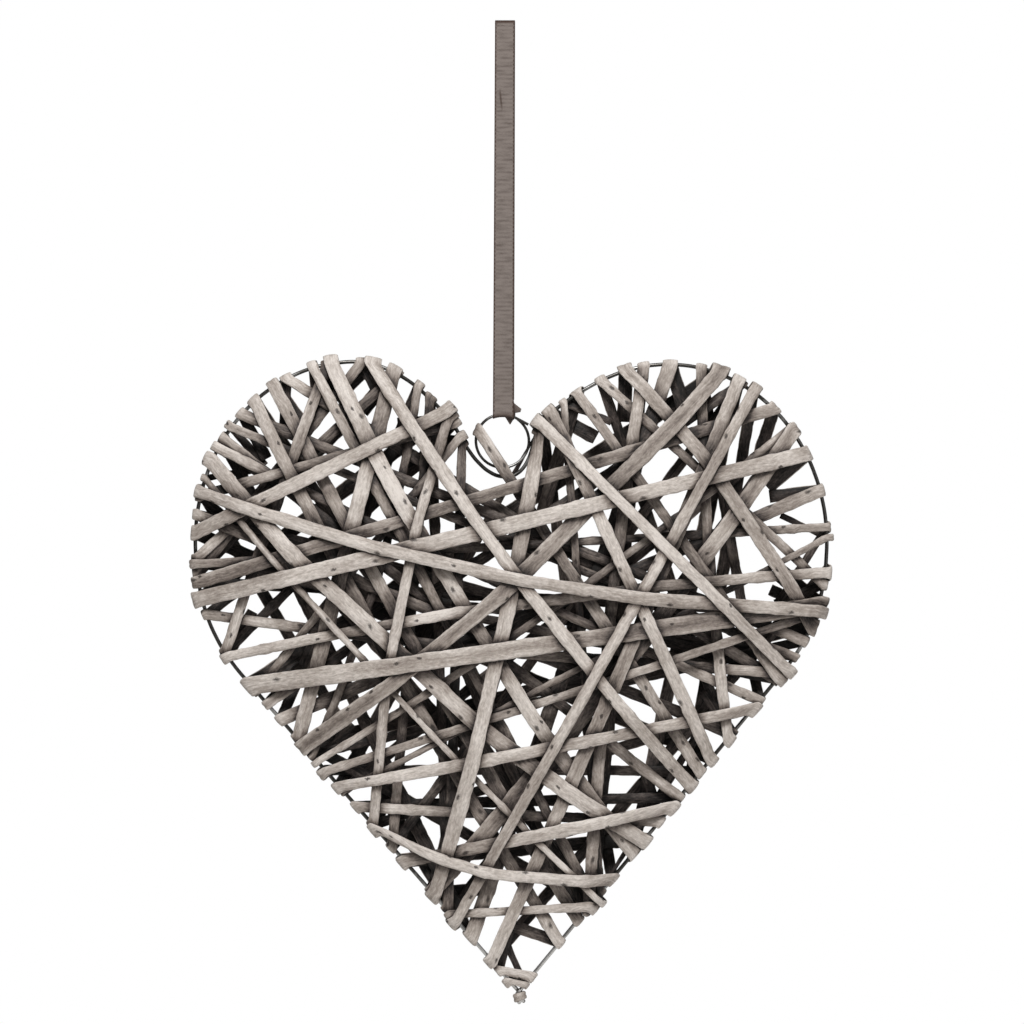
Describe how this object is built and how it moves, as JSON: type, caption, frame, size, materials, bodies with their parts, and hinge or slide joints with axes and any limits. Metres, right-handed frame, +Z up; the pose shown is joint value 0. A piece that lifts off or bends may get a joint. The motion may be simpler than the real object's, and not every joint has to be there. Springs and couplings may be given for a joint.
{
  "type": "wicker heart",
  "caption": "Hanging heart of split willow strips wound over a bent wire rim, with a small wire ring in the cleft and a ribbon loop to hang it by.",
  "frame": {"origin": "top fold of the ribbon loop, where a peg or hook carries it", "axes": "+Z up, front face towards -Y, +X to the right as seen from the front"},
  "size_m": [0.3015, 0.0451, 0.4598],
  "materials": {
    "willow": "weathered, white-washed, matt",
    "wire": "galvanised",
    "ribbon": "ribbed grosgrain, matt"
  },
  "bodies": {
    "root": {"rim_wire": "wire", "hanging_ring": "wire", "ribbon": "ribbon", "ribbon_ends": "ribbon", "tip_wrap": "willow", "tip_binding": "willow", "willow_skein_01": "willow", "willow_skein_02": "willow", "willow_skein_03": "willow", "willow_skein_04": "willow", "willow_skein_05": "willow", "willow_skein_06": "willow", "willow_skein_07": "willow", "willow_skein_08": "willow", "willow_skein_09": "willow", "willow_skein_10": "willow", "willow_skein_11": "willow", "willow_skein_12": "willow", "willow_skein_13": "willow", "willow_skein_14": "willow", "willow_skein_15": "willow", "willow_skein_16": "willow", "willow_skein_17": "willow", "willow_skein_18": "willow", "willow_skein_19": "willow"}
  },
  "joints": []
}
